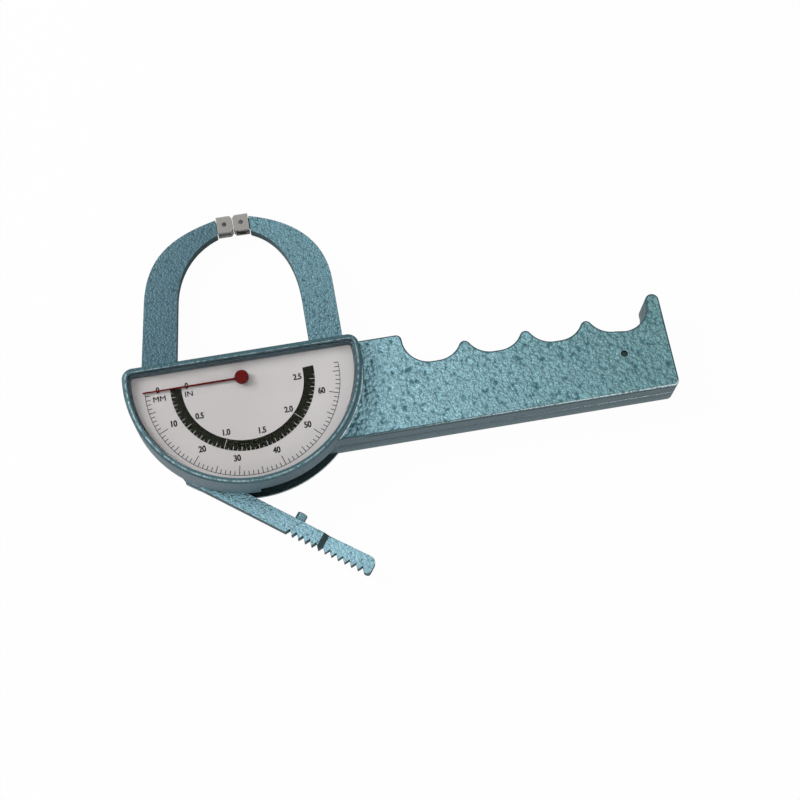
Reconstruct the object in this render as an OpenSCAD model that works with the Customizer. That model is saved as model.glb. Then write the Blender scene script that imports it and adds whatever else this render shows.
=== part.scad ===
// Skinfold caliper: a dial case with a pistol-style finger handle, one fixed arm, one
// spring-closed moving arm with a thumb lever, and a gear train that turns the pointer.
// X runs along the handle, Y towards the jaws, Z out of the dial. The origin is the
// pointer's axis on the flat back face, and the jaws are closed.

/* [Dial case] */
// Radius of the round side of the case
case_r = 51; // [50:0.5:53]
// Distance of that circle's centre above the pointer's axis
case_rise = 3; // [2:0.1:4]
// Distance of that circle's centre right of the pointer's axis
case_x = 0.7; // [0:0.1:0.8]
// Height of the straight top side above the pointer's axis
case_top = 10.88; // [10.4:0.02:11.5]
// Radius of the two upright corners
corner_r = 4.69; // [4.2:0.01:6]
// Thickness of the case, from the back face to the rim
case_h = 25; // [24:0.5:28]
// Thickness of the case wall
case_wall = 2.6; // [2:0.1:2.8]
// Radius of the rim's outer edge
rim_r = 1; // [0.6:0.1:1.4]
// Thickness of the back plate
floor_t = 2; // [1.6:0.1:2.2]
// Height of the joint between the back and front castings
seam_z = 9.2; // [9:0.1:10]

/* [Handle] */
// Distance of the handle's far end from the pointer's axis
handle_end = 185.2; // [184:0.1:195]
// Distance of the handle's straight edge below the pointer's axis
handle_low = 34; // [32:0.5:35]
// Height of the handle's top edge beside the case
handle_top = 9.35; // [9:0.05:10]
// Thickness of the handle
handle_t = 18.4; // [16:0.2:19]
// Thickness of the handle's walls
handle_wall = 2.6; // [2:0.1:3]
// Number of finger grooves
groove_n = 4; // [2:1:4]
// Radius of a finger groove's sides
groove_r = 11.5; // [11:0.1:11.6]
// Half the length of the flat at the bottom of a finger groove
groove_flat = 1.4; // [1:0.1:1.4]
// Distance between finger grooves
groove_pitch = 27; // [26.8:0.1:27.4]
// Distance of the first groove from the pointer's axis
groove_x = 83.5; // [83:0.1:84]
// Depth of the grooves below the pointer's axis
groove_low = 5.1; // [4.8:0.1:6]
// Height of the crests between grooves
crest_y = 1.85; // [1:0.05:2]
// Height of the horn at the far end
horn_y = 9.5; // [8.4:0.05:10]
// Radius of the horn's tip
horn_r = 3; // [2:0.1:3.2]
// Radius of the handle's square corners
handle_corner = 2.5; // [1:0.1:4]

/* [Arms and lever] */
// Thickness of the arm plates
arm_t = 4.8; // [4:0.1:5]
// Height of the arm plates' back face
arm_z = 3.8; // [3.6:0.1:4]
// Distance of the moving arm's pivot left of the pointer's axis
pivot_left = 10; // [9.6:0.1:10.4]
// Distance of the moving arm's pivot below the pointer's axis
pivot_low = 18; // [17.6:0.1:18.4]
// Radius of the pivot pin
pivot_r = 3; // [2.5:0.1:3.2]
// Radius of the moving arm's boss round the pivot
boss_r = 9; // [8.6:0.1:9.5]
// Downward slope of the thumb lever
lever_slope = 37.3; // [36:0.1:38]
// Distance of the lever's upper edge from the pointer's axis
lever_off = 41; // [40.6:0.1:42]
// Width of the lever
lever_w = 7.4; // [6.5:0.1:8]
// Length of the lever past the point nearest to the pointer's axis
lever_len = 86.5; // [84:0.5:92]
// Number of serrations on the lever
tooth_n = 12; // [6:1:12]
// Distance between serrations
tooth_pitch = 3.15; // [2.6:0.05:3.2]
// Depth of a serration
tooth_deep = 2.1; // [1:0.1:2.5]
// Depth of the step in the lever's face
step_deep = 1.6; // [0.5:0.1:1.8]
// Radius of the stop peg
peg_r = 2.3; // [1.8:0.1:2.4]
// Height of the stop peg above the lever's edge
peg_h = 3.4; // [3:0.1:3.6]

/* [Jaw tips] */
// Distance of the line where the tips meet from the pointer's axis
jaw_x = 6; // [5.8:0.1:6.2]
// Height of the tips' pins above the pointer's axis
jaw_y = 78.8; // [78.6:0.1:79.2]
// Width of a tip along the jaws' travel
tip_w = 7.2; // [6.8:0.1:7.4]
// Height of a tip across the jaws' travel
tip_h = 7.8; // [7:0.1:8]
// Thickness of a tip
tip_t = 5.8; // [5.4:0.1:6.2]
// Bevel at the corners of a tip's pad
tip_bevel = 1; // [0.6:0.1:1.3]
// Distance of a tip's pin from its pad
tip_pin_back = 3.65; // [3.5:0.05:3.9]
// Radius of a tip's pin
tip_pin_r = 1; // [0.7:0.05:1.1]
// Thickness of the tongue that a tip straddles
tongue_t = 2.4; // [2:0.1:2.6]
// Gap between the closed pads
pad_gap = 0.25; // [0.25:0.05:0.6]

/* [Dial and movement] */
// Depth of the dial's printed face below the rim
dial_drop = 4.8; // [4.6:0.1:5]
// Thickness of the dial plate
dial_t = 0.8; // [0.5:0.1:1.2]
// Thickness of the clear lens
lens_t = 1.2; // [0.8:0.1:1.4]
// Length of the pointer's needle
needle_len = 42.5; // [38:0.5:44]
// Radius of the pointer's cap
cap_r = 3; // [2.4:0.1:4]
// Gear module
gear_m = 0.5; // [0.5:0.01:0.52]
// Teeth on the whole circle of the sector
sector_teeth = 72; // [72:4:76]
// Teeth on the idler
idler_teeth = 20; // [20:2:22]
// Teeth on the pointer's pinion
pinion_teeth = 16; // [16:2:18]
// Radius of the pointer's arbor
arbor_r = 1; // [0.8:0.05:1.2]
// Height of the movement plate's back face
bridge_z = 12.4; // [12.3:0.1:13]
// Thickness of the movement plate
bridge_t = 2; // [1.5:0.1:2.4]
// Outer radius of the closing spring
spring_r = 2.5; // [2:0.1:2.6]

/* [Fits] */
// Radial clearance of a turning fit
run_gap = 0.05; // [0.03:0.01:0.08]
// Clearance beside a piece that moves
side_gap = 0.1; // [0.1:0.05:0.2]
// Radius of a case or handle screw
screw_r = 1.45; // [1.2:0.05:1.6]
// Radius of a case or handle screw's head
head_r = 2.8; // [2.4:0.1:2.9]

/* [Hidden] */
$fn = 64;
cut = 0.1;   // how far a cutting shape runs past the face that it cuts
far = 300;   // larger than the object

arm_top = arm_z + arm_t;
mid_z = arm_z + arm_t / 2;
pivot = [-pivot_left, -pivot_low];
case_c = [case_x, case_rise];
dial_z = case_h - dial_drop;
arm_x = 46;          // outer edge of the fixed arm
arm_w = 15;          // width of both arms where they leave the case

// ---------- shared outlines ----------

// A point of a cubic curve that leaves p and arrives at q along two directions
function curve(p, dir_p, q, dir_q, reach_p, reach_q, t) =
    let (a = p + reach_p * dir_p, b = q - reach_q * dir_q, u = 1 - t)
    u * u * u * p + 3 * u * u * t * a + 3 * u * t * t * b + t * t * t * q;
function bend(p, dir_p, q, dir_q, reach_p, reach_q, steps = 16) =
    [for (i = [0 : steps]) curve(p, dir_p, q, dir_q, reach_p, reach_q, i / steps)];
function unit(v) = v / norm(v);
function polar(r, a) = [r * cos(a), r * sin(a)];

// Where the case's upright corners are centred, at an inset from its outer edge
function corner_c(inset) = max(corner_r - inset, 1);
function corner_at(inset) =
    let (c = corner_c(inset), y = case_top - inset - c)
    [sqrt(pow(case_r - inset - c, 2) - pow(y - case_rise, 2)), y];

// The part of the plane below two rays that lean from the round side's centre to the
// corners' centres, which is where the round side ends
module below_corners(inset = 0) {
    ray = 1.25 * (corner_at(inset) - [0, case_rise]);
    translate([0, case_rise])
        polygon([[0, 0], ray, [far, -far], [-far, -far], [-ray[0], ray[1]]]);
}

// Outline of the case: a round side, a straight top and two round corners, drawn in
// by inset
module case_outline(inset = 0) translate([case_x, 0]) {
    at = corner_at(inset);
    intersection() {
        translate([0, case_rise]) circle(case_r - inset, $fn = 128);
        below_corners(inset);
    }
    translate([-at[0], 0]) square([2 * at[0], case_top - inset]);
    for (side = [-1, 1]) translate([side * at[0], at[1]]) circle(corner_c(inset), $fn = 48);
}

// Section of the wall and rim of the front casting, from the outer edge inwards: a
// rounded outer edge, a flat top, a slope down to the lens's seat, a steeper one down to
// the dial, and the ledge's root
module rim_section() {
    root_z = ledge_z - ledge_t / 2;
    polygon(concat(
        [[0, seam_z], [case_wall, seam_z], [case_wall, root_z], [dial_in, root_z],
         [dial_in, dial_z + 0.2], [lens_in + 0.4, lens_z], [lens_in, lens_z],
         [lens_in, lens_z + lens_t + 0.1], [lens_in - 0.2, case_h]],
        [for (a = [90 : 15 : 180]) [rim_r, case_h - rim_r] + polar(rim_r, a)]
    ));
}

// The rim's section carried round the case
module rim_wall() translate([case_x, 0, 0]) {
    at = corner_at(0);
    ray = 0.25 * (at - [0, case_rise]);
    intersection() {
        translate([0, case_rise, 0]) rotate_extrude($fn = 128)
            translate([case_r, 0]) mirror([1, 0]) rim_section();
        linear_extrude(far) below_corners();
    }
    for (side = [0, 1]) mirror([side, 0, 0]) translate([at[0], at[1], 0]) intersection() {
        rotate_extrude($fn = 48) translate([corner_r, 0]) mirror([1, 0]) rim_section();
        linear_extrude(far) polygon([[0, 0], ray, [ray[0], ray[0]], [0, ray[0]]]);
    }
    translate([-at[0], case_top, 0]) rotate([90, 0, 90]) linear_extrude(2 * at[0])
        mirror([1, 0]) rim_section();
}

// Outline of the handle: its square edges, the horn at its far end, then the finger
// grooves from last to first with a round crest between each two, and the shoulder
module handle_outline() {
    left = 30;                              // inside the case, where the castings join
    cy = groove_r - groove_low;
    half = groove_pitch / 2 - groove_flat;  // from the middle of a side to its crest
    deep = cy - crest_y;
    crest_r = (half * half + deep * deep - groove_r * groove_r) / (2 * (groove_r - deep));
    meet = atan2(deep + crest_r, half);     // where a groove's side runs into a crest
    // the last groove's side towards the horn is wider and runs deeper
    last_r = groove_r + groove_flat / 2;
    last_c = [handle_end - 2 * horn_r - groove_r - 0.4 * groove_flat, cy];
    horn_c = [handle_end - horn_r, horn_y - horn_r];
    shoulder_c = [groove_x - groove_flat - groove_r - handle_corner, handle_top - handle_corner];
    low_c = [handle_end - handle_corner, handle_corner - handle_low];
    polygon(concat(
        [[left, -handle_low]],
        [for (a = [-90 : 15 : 0]) low_c + polar(handle_corner, a)],
        [for (a = [0 : 17 : 170]) horn_c + polar(horn_r, a)],
        [for (a = [-8 : -6 : -86]) last_c + polar(last_r, a)],
        [for (i = [groove_n - 1 : -1 : 1]) each concat(
            groove_side(i, -1, cy, [90 : 6 : 178 - meet]),
            [for (a = [meet + 2 : 14.5 : 179 - meet])
                [groove_x + groove_pitch * (i - 0.5), crest_y - crest_r] + polar(crest_r, a)],
            groove_side(i - 1, 1, cy, [meet + 2 : 6 : 90])
        )],
        groove_side(0, -1, cy, [90 : 6 : 180]),
        [for (a = [0 : 15 : 90]) shoulder_c + polar(handle_corner, a)],
        [[left, handle_top]]
    ));
}
// One side of groove i, through a range of angles below the horizontal
function groove_side(i, side, cy, angles) =
    [for (a = angles)
        [groove_x + groove_pitch * i + side * groove_flat, cy] + polar(groove_r, -a)];

// Hollow of the handle, which leaves its walls
module handle_hollow() {
    left = case_x + case_r + 1.5;
    shoulder_x = groove_x - groove_flat - groove_r - handle_wall;
    translate([left, handle_wall - handle_low]) square(
        [handle_end - handle_wall - left, handle_low - groove_low - 2 * handle_wall]);
    translate([left, -groove_low - handle_wall - cut]) square(
        [shoulder_x - left, groove_low + cut + handle_top]);
}

last_groove_x = groove_x + groove_pitch * (groove_n - 1);
handle_screw_at = [
    [groove_x - 0.89 * groove_pitch, -0.735 * handle_low],
    [groove_x - 0.85 * groove_pitch, 0.1 * handle_top],
    [groove_x + 1.3 * groove_pitch, -0.57 * handle_low]
];
rivet_at = [last_groove_x, -0.47 * handle_low];
case_screw_at = [26, -30];
arm_screw_at = [[38.5, 2.5], [37.5, -8]];
bridge_ring = case_r - 7.5;
bridge_screw_at = [for (a = [200, 268, 325]) case_c + polar(bridge_ring, a)];

post_r = 3.7;        // posts that the screws hold together
head_h = 1.6;        // screw heads
ledge_t = 1.2;       // ledge under the dial
ledge_w = 2;         // how far the ledge reaches under the dial
ledge_z = dial_z - dial_t;
post_top = ledge_z - 0.3;
slot_top = seam_z + 4.8;               // top of the slot that the lever swings in
thread_end = post_top - 1.1;           // where the threads in the case end
slot_end = case_x + sqrt(pow(case_r, 2) - pow(handle_low + case_rise, 2));
bridge_screw_r = 1.25;
handle_roof = 2.4;
dial_in = case_wall + 0.6;
lens_in = case_wall - 0.2;
lens_z = case_h - lens_t - 0.6;

// ---------- castings ----------

// Front casting: dial rim, case wall and the front half of the handle
module front_shell() color("cadetblue") {
    difference() {
        rim_wall();
        // the wall is cut higher where the lever swings
        translate([0.5, -far - handle_low - 0.6, seam_z - cut])
            cube([slot_end - 1.5, far, slot_top - seam_z + cut]);
    }
    // ledge under the dial
    translate([0, 0, ledge_z - ledge_t]) linear_extrude(ledge_t) difference() {
        case_outline(case_wall - cut);
        case_outline(dial_in + ledge_w);
    }
    // front half of the handle, with its hollow and the posts left standing in it
    difference() {
        translate([0, 0, seam_z]) linear_extrude(handle_t - seam_z) difference() {
            handle_outline();
            case_outline(cut);
        }
        translate([0, 0, seam_z - cut]) linear_extrude(handle_t - handle_roof - seam_z + cut)
            difference() {
                handle_hollow();
                for (p = concat(handle_screw_at, [rivet_at])) translate(p) circle(post_r);
            }
        for (p = handle_screw_at) translate([p[0], p[1], seam_z - cut])
            cylinder(h = handle_t - handle_roof - seam_z, r = screw_r + run_gap);
        translate([rivet_at[0], rivet_at[1], 0]) cylinder(h = far, r = screw_r + run_gap);
    }
    // posts inside the case, joined to its wall under the dial's ledge
    wall_post(case_screw_at, seam_z, screw_r + run_gap);
    for (p = arm_screw_at) wall_post(p, arm_top, screw_r + run_gap);
    for (p = bridge_screw_at) wall_post(p, bridge_z + bridge_t, bridge_screw_r + run_gap);
}

// A drilled post, with a rib that runs out to the case wall
module wall_post(at, low, hole_r) {
    out = unit(at - case_c);
    start = post_r / 2;
    reach = case_r - case_wall - norm(at - case_c) + 0.6;
    rib_low = max(low, slot_top) + 0.5;
    difference() {
        union() {
            translate([at[0], at[1], low]) cylinder(h = post_top - low, r = post_r);
            translate([at[0], at[1], rib_low]) rotate([0, 0, atan2(out[1], out[0])])
                translate([start, -post_r / 2, 0])
                    cube([reach - start, post_r, post_top - 0.5 - rib_low]);
        }
        translate([at[0], at[1], low - cut])
            cylinder(h = thread_end - low + cut, r = hole_r);
    }
}

// Back casting: back plate, the case wall where the arms don't swing, and the back
// half of the handle
module back_shell() color("cadetblue") {
    wall_left = -24;                        // the moving arm passes left of this
    trim_right = -31;                       // the plate is narrower left of this
    notch = [arm_x - arm_w - 0.2, arm_x + 0.2];
    difference() {
        union() {
            linear_extrude(floor_t) difference() {
                case_outline();
                difference() {
                    translate([trim_right - far, case_top - 8 - far]) square(far);
                    case_outline(2);
                }
            }
            linear_extrude(seam_z) handle_outline();
            linear_extrude(seam_z) intersection() {
                case_outline();
                union() {
                    translate([slot_end, -far]) square([far, 2 * far]);
                    translate([wall_left, case_top - case_wall]) square([far, far]);
                }
            }
        }
        // room inside the case
        translate([0, 0, floor_t]) linear_extrude(far) case_outline(case_wall);
        // notch where the fixed arm leaves the case
        translate([notch[0], 0, arm_z]) cube([notch[1] - notch[0], far, far]);
        // hollow of the handle, with posts left standing
        translate([0, 0, floor_t]) linear_extrude(far) difference() {
            handle_hollow();
            for (p = concat(handle_screw_at, [rivet_at])) translate(p) circle(post_r);
        }
        for (p = handle_screw_at) screw_hole(p);
        translate([rivet_at[0], rivet_at[1], -cut]) cylinder(h = far, r = screw_r + run_gap);
        translate([rivet_at[0], rivet_at[1], -cut]) cylinder(h = 1 + cut, r = head_r);
        for (p = concat([case_screw_at], arm_screw_at)) screw_hole(p);
        translate([pivot[0], pivot[1], -cut]) cylinder(h = far, r = pivot_r + run_gap);
        translate([pivot[0], pivot[1], -cut])
            cylinder(h = pin_low + pin_head_t + cut, r = pivot_r + 1.3);
    }
    // post of the case screw, pads of the fixed arm and boss of the pivot
    floor_post(case_screw_at, seam_z, post_r, screw_r + run_gap);
    for (p = arm_screw_at) floor_post(p, arm_z, post_r, screw_r + run_gap);
    floor_post(pivot, arm_z - washer_t - side_gap, pivot_r + 3, pivot_r + run_gap);
    floor_post(spring_fixed_at, mid_z - 2, 2.8, 1.2);
}
module screw_hole(at) {
    translate([at[0], at[1], -cut]) cylinder(h = far, r = screw_r + run_gap);
    translate([at[0], at[1], -cut]) cylinder(h = head_h + cut, r = head_r + side_gap);
}
module floor_post(at, top, r, hole_r) translate([at[0], at[1], 0]) difference() {
    translate([0, 0, floor_t]) cylinder(h = top - floor_t, r = r);
    translate([0, 0, -cut]) cylinder(h = far, r = hole_r);
}

// ---------- fasteners ----------

module screw(at, end, r = screw_r, r_head = head_r, z = 0, h = head_h) {
    translate([at[0], at[1], z]) difference() {
        union() {
            cylinder(h = h, r = r_head);
            cylinder(h = end - z, r = r);
        }
        translate([-r_head * 0.75, -0.35, -cut]) cube([r_head * 1.5, 0.7, 0.5 + cut]);
    }
}
module handle_screws() color("silver")
    for (p = handle_screw_at) screw(p, handle_t - handle_roof - 1);
module case_screw() color("silver") screw(case_screw_at, thread_end - 1);
module fixed_arm_screws() color("silver")
    for (p = arm_screw_at) screw(p, thread_end - 1);
module movement_screws() color("silver")
    for (p = bridge_screw_at)
        screw(p, thread_end - 1, bridge_screw_r, 2.3, bridge_z - 1.4, 1.4);
module handle_rivet() color("cadetblue") translate([rivet_at[0], rivet_at[1], 0]) {
    cylinder(h = handle_t - 1, r = screw_r);
    cylinder(h = 0.95, r = head_r - side_gap);
}

// ---------- arms ----------

moving_root_out = [-45.7, -2];
moving_root_in = [-28.9, 7];
moving_bend_out = [-38.2, 46.3];
moving_bend_in = [-23.3, 45.7];
fixed_bend_out = [arm_x, 44];
fixed_bend_in = [arm_x - arm_w + 0.1, 38];
tip_back = tip_w + 0.3;                     // end of each arm, behind its tip
arm_end_high = jaw_y + 2.9;
arm_end_low = jaw_y - 4.7;
lug_r = 3.4;
nose_r = 2.6;
foot_r = 1.4;
step_s = lever_len - 24.2;                  // where the lever's face steps down
ramp_end = lever_len - 5;
peg_s = lever_len - 37.2;
arm_bow = 22;                               // how far the arms' ends reach into their bends
arm_hollow = 13;

// A point of the lever, s along it and off below the line through the pointer's axis
function lever_point(s, off) =
    polar(s, -lever_slope) - off * polar(1, 90 - lever_slope);

// Outline of the moving arm: up its outer edge, down its inner edge, round the spring's
// lug and the pivot's boss, along the lever and back inside the case's round side
module moving_arm_outline() {
    end_x = jaw_x - tip_back;
    low = lever_off + lever_w;
    polygon(concat(
        [moving_root_out],
        bend(moving_bend_out, unit(moving_bend_out - moving_root_out),
             [end_x, arm_end_high], unit([0.97, 0.22]), arm_bow, arm_bow),
        bend([end_x, arm_end_low], unit([-0.94, -0.34]),
             moving_bend_in, unit(moving_root_in - moving_bend_in), arm_hollow, arm_hollow),
        [moving_root_in],
        [for (a = [120 : -15 : -90]) spring_moving_at + polar(lug_r, a)],
        [for (a = [125 : -10 : -45]) pivot + polar(boss_r, a)],
        [lever_point(0.44 * lever_off, 0.8 * lever_off), lever_point(0.512 * lever_off, lever_off)],
        [for (a = [90 : -15 : 0]) lever_point(lever_len - nose_r * (1 - cos(a)),
                                              lever_off + nose_r * (1 - sin(a)))],
        [for (a = [0 : 15 : 90]) lever_point(lever_len - foot_r * (1 - cos(a)),
                                             low - foot_r * (1 - sin(a)))],
        [for (i = [0 : tooth_n - 1], edge = [[0.46, 0], [-0.1, tooth_deep], [-0.46, 0]])
            lever_point(lever_len - 2.2 - (i + 0.5 - edge[0]) * tooth_pitch, low - edge[1])],
        [lever_point(-1.2, low)],
        [for (a = [228 : -6 : 204]) case_c + polar(case_r - 1.4, a)]
    ));
}

// Tongue at the end of an arm, thinner than the arm, that the tip turns on
module tongue(side) {
    pin_x = jaw_x + side * (pad_gap / 2 + tip_pin_back);
    end_x = jaw_x + side * tip_back;
    r = tip_pin_r + 1.2;
    translate([0, 0, mid_z - tongue_t / 2]) linear_extrude(tongue_t) {
        translate([pin_x, jaw_y]) circle(r);
        translate([min(pin_x, end_x + side), jaw_y - r])
            square([abs(end_x + side - pin_x), 2 * r]);
    }
}
module tip_pin_bore(side)
    translate([jaw_x + side * (pad_gap / 2 + tip_pin_back), jaw_y, -cut])
        cylinder(h = far, r = tip_pin_r);

// Moving arm, in one plate with the thumb lever
module moving_arm() color("cadetblue") {
    difference() {
        union() {
            translate([0, 0, arm_z]) linear_extrude(arm_t) moving_arm_outline();
            tongue(-1);
        }
        tip_pin_bore(-1);
        translate([pivot[0], pivot[1], 0]) cylinder(h = far, r = bush_r);
        for (p = sector_rivet_at) translate([p[0], p[1], 0]) cylinder(h = far, r = 1);
        // slot in the lug that the spring's loop hangs in, and the hole for its stud
        translate([spring_moving_at[0], spring_moving_at[1], spring_z - 0.7]) {
            cylinder(h = 1.4, r = 2.5);
            translate([0, -4, 0]) cube([5, 8, 1.4]);
        }
        translate([spring_moving_at[0], spring_moving_at[1], 0])
            cylinder(h = far, r = 1.2);
        // hole for the stop peg's shank
        peg_frame() translate([0, 0, -4.1]) cylinder(h = 5, r = 1.2);
        // step and ramp in the lever's face
        rotate([0, 0, -lever_slope]) rotate([90, 0, 0]) linear_extrude(far)
            polygon([[step_s - 2.5, arm_top + 1], [step_s + 1.4, arm_top - step_deep],
                     [2 * ramp_end - step_s - 1.4, arm_top + step_deep]]);
    }
}
// Local frame at the foot of the stop peg, with Z out of the lever's upper edge
module peg_frame() {
    at = lever_point(peg_s, lever_off);
    translate([at[0], at[1], mid_z]) rotate([0, 0, -lever_slope]) rotate([-90, 0, 0])
        children();
}
module stop_peg() color("darkslategray") peg_frame() {
    cylinder(h = peg_h, r = peg_r);
    translate([0, 0, -4]) cylinder(h = 5, r = 1.2);
}

// Fixed arm: screwed down inside the case
module fixed_arm() color("cadetblue") {
    end_x = jaw_x + tip_back;
    difference() {
        union() {
            translate([0, 0, arm_z]) linear_extrude(arm_t) polygon(concat(
                [[arm_x, -1], [arm_x - 3, -13], [arm_x - arm_w - 1, -13],
                 [arm_x - arm_w, 0]],
                bend(fixed_bend_in, [0, 1], [end_x, arm_end_low - 0.2],
                     unit([-0.905, 0.426]), 17, 13),
                bend([end_x, arm_end_high - 0.2], unit([0.964, -0.265]),
                     fixed_bend_out, [0, -1], 19.5, 21)
            ));
            tongue(1);
        }
        tip_pin_bore(1);
        for (p = arm_screw_at) translate([p[0], p[1], 0])
            cylinder(h = far, r = screw_r + run_gap);
    }
}

// ---------- jaw tips ----------

// Plastic pad that straddles the tongue, with its pad towards the other tip
module jaw_tip(side) {
    slot_t = tongue_t + 2 * side_gap;
    pin_x = pad_gap / 2 + tip_pin_back;
    slot_in = pin_x - tip_pin_r - 1.2 - 0.3;
    translate([jaw_x, 0, 0]) mirror([side < 0 ? 1 : 0, 0, 0]) difference() {
        translate([0, 0, mid_z - tip_t / 2]) linear_extrude(tip_t) polygon([
            [pad_gap / 2 + tip_bevel, jaw_y - tip_h / 2],
            [tip_w, jaw_y - tip_h / 2], [tip_w, jaw_y + tip_h / 2],
            [pad_gap / 2 + tip_bevel, jaw_y + tip_h / 2],
            [pad_gap / 2, jaw_y + tip_h / 2 - 1.3 * tip_bevel],
            [pad_gap / 2, jaw_y - tip_h / 2 + 1.3 * tip_bevel]
        ]);
        translate([slot_in, -far, mid_z - slot_t / 2]) cube([far, 2 * far, slot_t]);
        translate([pin_x, jaw_y, -cut]) cylinder(h = far, r = tip_pin_r + run_gap);
    }
}
module fixed_jaw_tip() color("gainsboro") jaw_tip(1);
module moving_jaw_tip() color("gainsboro") jaw_tip(-1);
module tip_pin(side)
    translate([jaw_x + side * (pad_gap / 2 + tip_pin_back), jaw_y, mid_z - tip_t / 2 + 0.2])
        cylinder(h = tip_t - 0.4, r = tip_pin_r);
module fixed_tip_pin() color("dimgray") tip_pin(1);
module moving_tip_pin() color("dimgray") tip_pin(-1);

// ---------- pivot ----------

washer_t = 0.45;
bush_r = pivot_r + 1;
sector_t = 1.4;
sector_top = arm_top + sector_t;
clip_z = bridge_z + bridge_t;

pin_low = 0.2;       // the pin's head lies this deep in the back plate
pin_head_t = 1;
clip_gap = 0.1;
clip_t = 0.7;
module arm_pivot_pin() color("silver") translate([pivot[0], pivot[1], pin_low]) difference() {
    union() {
        cylinder(h = pin_head_t, r = pivot_r + 1.2);
        cylinder(h = bridge_z - pin_low, r = pivot_r);
        cylinder(h = clip_z + 1.8 - pin_low, r = pivot_r - 1);
    }
    translate([0, 0, clip_z - pin_low + clip_gap / 2]) difference() {
        cylinder(h = clip_t + clip_gap, r = pivot_r);
        translate([0, 0, -cut]) cylinder(h = clip_t + clip_gap + 2 * cut, r = pivot_r - 1.5);
    }
}
module pivot_clip() color("dimgray") translate([pivot[0], pivot[1], clip_z + clip_gap])
    difference() {
        cylinder(h = clip_t, r = pivot_r + 0.8);
        translate([0, 0, -cut]) cylinder(h = 1, r = pivot_r - 1.45);
        translate([0, -1, -cut]) cube([far, 2, 1]);
    }
module thrust_washer() color("goldenrod")
    translate([pivot[0], pivot[1], arm_z - washer_t - side_gap / 2]) difference() {
        cylinder(h = washer_t, r = pivot_r + 3);
        translate([0, 0, -cut]) cylinder(h = 1, r = pivot_r + run_gap);
    }
module pivot_spacer() color("goldenrod")
    translate([pivot[0], pivot[1], sector_top + side_gap]) difference() {
        cylinder(h = bridge_z - sector_top - side_gap, r = pivot_r + 1.5);
        translate([0, 0, -cut]) cylinder(h = far, r = pivot_r + run_gap);
    }
module pivot_bush() color("goldenrod") translate([pivot[0], pivot[1], arm_z]) difference() {
    cylinder(h = arm_t + sector_t, r = bush_r);
    translate([0, 0, -cut]) cylinder(h = far, r = pivot_r + run_gap);
}

// ---------- gear train ----------

sector_r = gear_m * sector_teeth / 2;
idler_r = gear_m * idler_teeth / 2;
pinion_r = gear_m * pinion_teeth / 2;
// The idler is long enough to mesh with the sector below and the pinion above it
idler_z = arm_top + 0.4;
pinion_z = sector_top + 0.3;
gear_top = bridge_z - 0.5;
// The idler sits where it meets the sector and the pinion
pivot_far = norm(pivot);
pivot_angle = atan2(-pivot[1], -pivot[0]);
idler_far = sector_r + idler_r;
idler_swing = acos((pow(pivot_far, 2) + pow(idler_far, 2) - pow(idler_r + pinion_r, 2))
                   / (2 * pivot_far * idler_far));
mesh_angle = pivot_angle - idler_swing;
idler_at = pivot + polar(idler_far, mesh_angle);
idler_turn = mesh_angle + 180 + 180 / idler_teeth;   // a gap faces the sector's tooth
hub_angle = atan2(-idler_at[1], -idler_at[0]);       // from the idler to the pinion
hub_offset = (idler_turn - hub_angle) % (360 / idler_teeth);
pinion_turn = hub_angle + 180 - hub_offset * idler_r / pinion_r + 180 / pinion_teeth;

// A straight-flanked tooth on a wheel of radius r, centred on angle a
module tooth(r, a) {
    pitch = PI * gear_m;
    rotate([0, 0, a]) polygon([
        [r - 1.3 * gear_m, -0.36 * pitch], [r, -0.22 * pitch], [r + 0.9 * gear_m, -0.1 * pitch],
        [r + 0.9 * gear_m, 0.1 * pitch], [r, 0.22 * pitch], [r - 1.3 * gear_m, 0.36 * pitch]
    ]);
}
module wheel(teeth, turn) {
    r = gear_m * teeth / 2;
    circle(r - 1.15 * gear_m, $fn = 64);
    for (i = [0 : teeth - 1]) tooth(r, turn + i * 360 / teeth);
}

sector_rivet_at = [for (a = [150, 250, 350]) pivot + polar(6.4, a)];
open_angle = 38;     // how far the moving arm opens
module sector_gear() color("goldenrod") {
    root_r = sector_r - 1.15 * gear_m;
    lead = 7;        // teeth past the mesh at each end of the travel
    tooth_a = 360 / sector_teeth;
    first = -ceil((open_angle + lead) / tooth_a);
    last = ceil(lead / tooth_a);
    translate([pivot[0], pivot[1], arm_top]) linear_extrude(sector_t) difference() {
        union() {
            circle(boss_r - 0.4);
            intersection() {
                circle(root_r, $fn = 96);
                polygon([[0, 0], polar(60, mesh_angle + (first - 0.5) * tooth_a),
                         polar(60, mesh_angle - open_angle / 2),
                         polar(60, mesh_angle + (last + 0.5) * tooth_a)]);
            }
            for (i = [first : last]) tooth(sector_r, mesh_angle + i * tooth_a);
        }
        circle(bush_r);
        for (p = sector_rivet_at) translate(p - pivot) circle(1);
        // lightening window between the hub and the toothed rim
        intersection() {
            difference() { circle(root_r - 3); circle(boss_r + 1.6); }
            polygon([[0, 0], polar(60, mesh_angle - open_angle),
                     polar(60, mesh_angle - open_angle / 2), polar(60, mesh_angle)]);
        }
    }
}
module sector_rivets() color("goldenrod") for (p = sector_rivet_at)
    translate([p[0], p[1], arm_z + 0.1]) {
        cylinder(h = sector_top - arm_z - 0.1, r = 1);
        translate([0, 0, sector_top - arm_z - 0.1]) cylinder(h = 0.5, r = 1.6);
    }

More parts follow.
